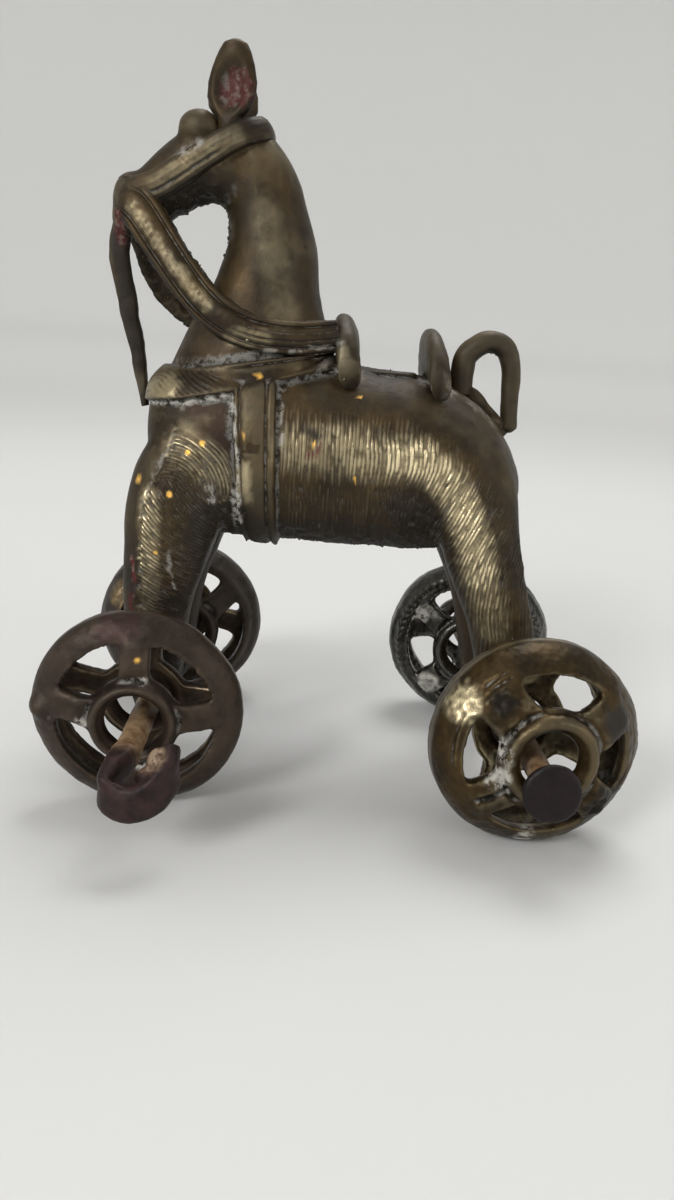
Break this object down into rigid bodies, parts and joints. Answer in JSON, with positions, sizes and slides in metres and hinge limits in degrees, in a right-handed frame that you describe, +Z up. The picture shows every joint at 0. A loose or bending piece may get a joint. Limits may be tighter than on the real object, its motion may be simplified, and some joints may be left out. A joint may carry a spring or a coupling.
{
  "type": "bronze horse figurine",
  "caption": "Cast bronze toy horse with bridle, reins, saddle and looped tail, standing on openwork cage wheels that turn on iron nail axles.",
  "frame": {"origin": "middle of the footprint, on the surface that the wheels stand on", "axes": "+Z up; the horse's head points to -X and its tail to +X; -Y is the side whose front nail end is bent into a hook"},
  "size_m": [0.1174, 0.1032, 0.1403],
  "materials": {
    "bronze_horse": "old cast bronze, dark olive brown, worn to brass on the high places",
    "bronze_wheel_brown": "old cast bronze, smooth dark brown",
    "bronze_wheel_grey": "old cast bronze with a dull grey crust",
    "iron_nail": "hand-forged iron, maroon brown with rust"
  },
  "bodies": {
    "horse": {"horse": "bronze_horse", "axle_front": "iron_nail", "axle_rear": "iron_nail"},
    "wheel_front_near": {"wheel_front_near": "bronze_wheel_brown"},
    "wheel_rear_near": {"wheel_rear_near": "bronze_horse"},
    "wheel_front_far": {"wheel_front_far": "bronze_wheel_brown"},
    "wheel_rear_far": {"wheel_rear_far": "bronze_wheel_grey"}
  },
  "joints": [
    {"name": "wheel_front_near_spin", "type": "hinge", "parent": "horse", "child": "wheel_front_near", "pos_m": [-0.03681, -0.02422, 0.02005], "axis": [-0.0348, 0.997, 0.0698], "continuous": true},
    {"name": "wheel_rear_near_spin", "type": "hinge", "parent": "horse", "child": "wheel_rear_near", "pos_m": [0.03839, -0.02742, 0.02004], "axis": [-0.1218, 0.9919, -0.0349], "continuous": true},
    {"name": "wheel_front_far_spin", "type": "hinge", "parent": "horse", "child": "wheel_front_far", "pos_m": [-0.03851, 0.03258, 0.02], "axis": [-0.1908, 0.9816, 0], "continuous": true},
    {"name": "wheel_rear_far_spin", "type": "hinge", "parent": "horse", "child": "wheel_rear_far", "pos_m": [0.03449, 0.03258, 0.02], "axis": [0.1045, 0.9945, 0], "continuous": true}
  ]
}
